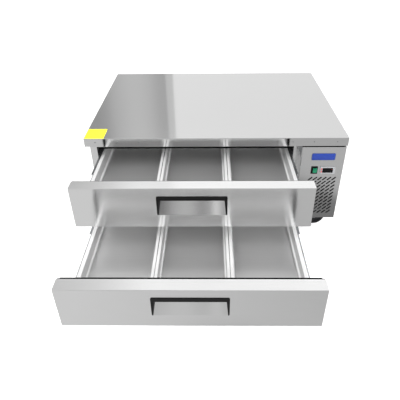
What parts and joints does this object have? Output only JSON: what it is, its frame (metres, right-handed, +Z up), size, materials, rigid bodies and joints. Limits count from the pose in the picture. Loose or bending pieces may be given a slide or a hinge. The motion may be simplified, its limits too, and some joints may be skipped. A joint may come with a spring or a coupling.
{
  "type": "refrigerated chef base",
  "caption": "Low refrigerated cabinet under a steel worktop, with wide drawers of lift-out food pans beside a machine compartment with slanted vents, on swivel casters.",
  "frame": {"origin": "on the floor, under the middle of the worktop", "axes": "+X to the right seen from the front, +Y to the back, +Z up; the drawers pull out along -Y"},
  "size_m": [1.323, 1.4828, 0.676],
  "materials": {
    "stainless_worktop": "satin",
    "stainless_body": "satin",
    "stainless_front": "satin",
    "stainless_pan": "satin",
    "stainless_liner": "satin",
    "slide_steel": "satin",
    "galvanised_steel": "satin",
    "insulating_foam": "matte",
    "black_plastic": "matte",
    "bezel_plastic": "satin",
    "key_plastic": "satin",
    "green_rocker": "gloss",
    "gasket_rubber": "matte",
    "caster_zinc": "satin",
    "caster_tread": "matte",
    "pedal_plastic": "matte",
    "compressor_paint": "satin",
    "coil_aluminium": "satin",
    "fan_plastic": "matte",
    "copper_tube": "satin"
  },
  "bodies": {
    "cabinet": {"worktop": "stainless_worktop", "base_panel": "galvanised_steel", "side_panel_left": "stainless_body", "side_panel_right": "stainless_body", "back_panel": "stainless_body", "cable_gland": "black_plastic", "machine_wall": "galvanised_steel", "face_frame": "stainless_body", "inner_liner": "stainless_liner", "foam_panels": "insulating_foam", "condenser_cover": "stainless_body", "switch_housing": "black_plastic", "controller_housing": "bezel_plastic", "unit_tray": "galvanised_steel", "condenser_coil": "coil_aluminium", "fan_shroud": "galvanised_steel", "compressor": "compressor_paint", "refrigerant_pipes": "copper_tube", "evaporator_coil": "coil_aluminium", "evaporator_cover": "stainless_liner", "upper_slide_outer": "slide_steel", "lower_slide_outer": "slide_steel", "caster_plates": "caster_zinc"},
    "upper_drawer": {"upper_front_shell": "stainless_front", "upper_front_core": "insulating_foam", "upper_grip": "black_plastic", "upper_gasket": "gasket_rubber", "upper_basket": "stainless_body", "upper_dividers": "stainless_body", "upper_slide_inner": "slide_steel", "upper_pan_left": "stainless_pan", "upper_pan_middle": "stainless_pan", "upper_pan_right": "stainless_pan"},
    "upper_slides": {"upper_slide_middle": "slide_steel"},
    "lower_drawer": {"lower_front_shell": "stainless_front", "lower_front_core": "insulating_foam", "lower_grip": "black_plastic", "lower_gasket": "gasket_rubber", "lower_basket": "stainless_body", "lower_dividers": "stainless_body", "lower_slide_inner": "slide_steel", "lower_pan_left": "stainless_pan", "lower_pan_middle": "stainless_pan", "lower_pan_right": "stainless_pan"},
    "lower_slides": {"lower_slide_middle": "slide_steel"},
    "swivel_front_left": {"caster_fork_front_left": "caster_zinc"},
    "wheel_front_left": {"caster_wheel_front_left": "caster_tread"},
    "pedal_front_left": {"brake_pedal_front_left": "pedal_plastic"},
    "swivel_front_right": {"caster_fork_front_right": "caster_zinc"},
    "wheel_front_right": {"caster_wheel_front_right": "caster_tread"},
    "pedal_front_right": {"brake_pedal_front_right": "pedal_plastic"},
    "swivel_back_left": {"caster_fork_back_left": "caster_zinc"},
    "wheel_back_left": {"caster_wheel_back_left": "caster_tread"},
    "swivel_back_right": {"caster_fork_back_right": "caster_zinc"},
    "wheel_back_right": {"caster_wheel_back_right": "caster_tread"},
    "power_rocker": {"rocker": "green_rocker"},
    "key_upper": {"controller_key_upper": "key_plastic"},
    "key_lower": {"controller_key_lower": "key_plastic"},
    "condenser_rotor": {"condenser_fan": "fan_plastic"},
    "evaporator_rotor": {"evaporator_fan": "fan_plastic"}
  },
  "joints": [
    {"name": "upper_drawer_slide", "type": "slide", "parent": "cabinet", "child": "upper_drawer", "axis": [0, -1, 0], "range_m": [-0.312, 0.328]},
    {"name": "upper_slide_run", "type": "slide", "parent": "cabinet", "child": "upper_slides", "axis": [0, -1, 0], "range_m": [-0.156, 0.164]},
    {"name": "lower_drawer_slide", "type": "slide", "parent": "cabinet", "child": "lower_drawer", "axis": [0, -1, 0], "range_m": [-0.64, 0]},
    {"name": "lower_slide_run", "type": "slide", "parent": "cabinet", "child": "lower_slides", "axis": [0, -1, 0], "range_m": [-0.32, 0]},
    {"name": "swivel_front_left", "type": "hinge", "parent": "cabinet", "child": "swivel_front_left", "pos_m": [-0.546, -0.289, 0.15], "axis": [0, 0, 1], "continuous": true},
    {"name": "wheel_front_left", "type": "hinge", "parent": "swivel_front_left", "child": "wheel_front_left", "pos_m": [-0.508, -0.289, 0.0625], "axis": [0, 1, 0], "continuous": true},
    {"name": "brake_pedal_front_left", "type": "hinge", "parent": "swivel_front_left", "child": "pedal_front_left", "pos_m": [-0.475, -0.289, 0.128], "axis": [0, 1, 0], "range_deg": [0, 16]},
    {"name": "swivel_front_right", "type": "hinge", "parent": "cabinet", "child": "swivel_front_right", "pos_m": [0.546, -0.289, 0.15], "axis": [0, 0, 1], "continuous": true},
    {"name": "wheel_front_right", "type": "hinge", "parent": "swivel_front_right", "child": "wheel_front_right", "pos_m": [0.584, -0.289, 0.0625], "axis": [0, 1, 0], "continuous": true},
    {"name": "brake_pedal_front_right", "type": "hinge", "parent": "swivel_front_right", "child": "pedal_front_right", "pos_m": [0.617, -0.289, 0.128], "axis": [0, 1, 0], "range_deg": [0, 16]},
    {"name": "swivel_back_left", "type": "hinge", "parent": "cabinet", "child": "swivel_back_left", "pos_m": [-0.546, 0.289, 0.15], "axis": [0, 0, 1], "continuous": true},
    {"name": "wheel_back_left", "type": "hinge", "parent": "swivel_back_left", "child": "wheel_back_left", "pos_m": [-0.508, 0.289, 0.0625], "axis": [0, 1, 0], "continuous": true},
    {"name": "swivel_back_right", "type": "hinge", "parent": "cabinet", "child": "swivel_back_right", "pos_m": [0.546, 0.289, 0.15], "axis": [0, 0, 1], "continuous": true},
    {"name": "wheel_back_right", "type": "hinge", "parent": "swivel_back_right", "child": "wheel_back_right", "pos_m": [0.584, 0.289, 0.0625], "axis": [0, 1, 0], "continuous": true},
    {"name": "power_rocker_tip", "type": "hinge", "parent": "cabinet", "child": "power_rocker", "pos_m": [0.5115, -0.4255, 0.484], "axis": [1, 0, 0], "range_deg": [-14, 0]},
    {"name": "controller_key_upper_press", "type": "slide", "parent": "cabinet", "child": "key_upper", "axis": [0, 1, 0], "range_m": [0, 0.0008], "stiffness_N_per_m": 300},
    {"name": "controller_key_lower_press", "type": "slide", "parent": "cabinet", "child": "key_lower", "axis": [0, 1, 0], "range_m": [0, 0.0008], "stiffness_N_per_m": 300},
    {"name": "condenser_fan_spin", "type": "hinge", "parent": "cabinet", "child": "condenser_rotor", "pos_m": [0.5469, -0.288, 0.293], "axis": [0, 1, 0], "continuous": true},
    {"name": "evaporator_fan_spin", "type": "hinge", "parent": "cabinet", "child": "evaporator_rotor", "pos_m": [-0.107, 0.272, 0.469], "axis": [0, 1, 0], "continuous": true}
  ],
  "couplings": [
    {"joint": "upper_slide_run", "follows": "upper_drawer_slide", "ratio": 0.5},
    {"joint": "lower_slide_run", "follows": "lower_drawer_slide", "ratio": 0.5}
  ]
}
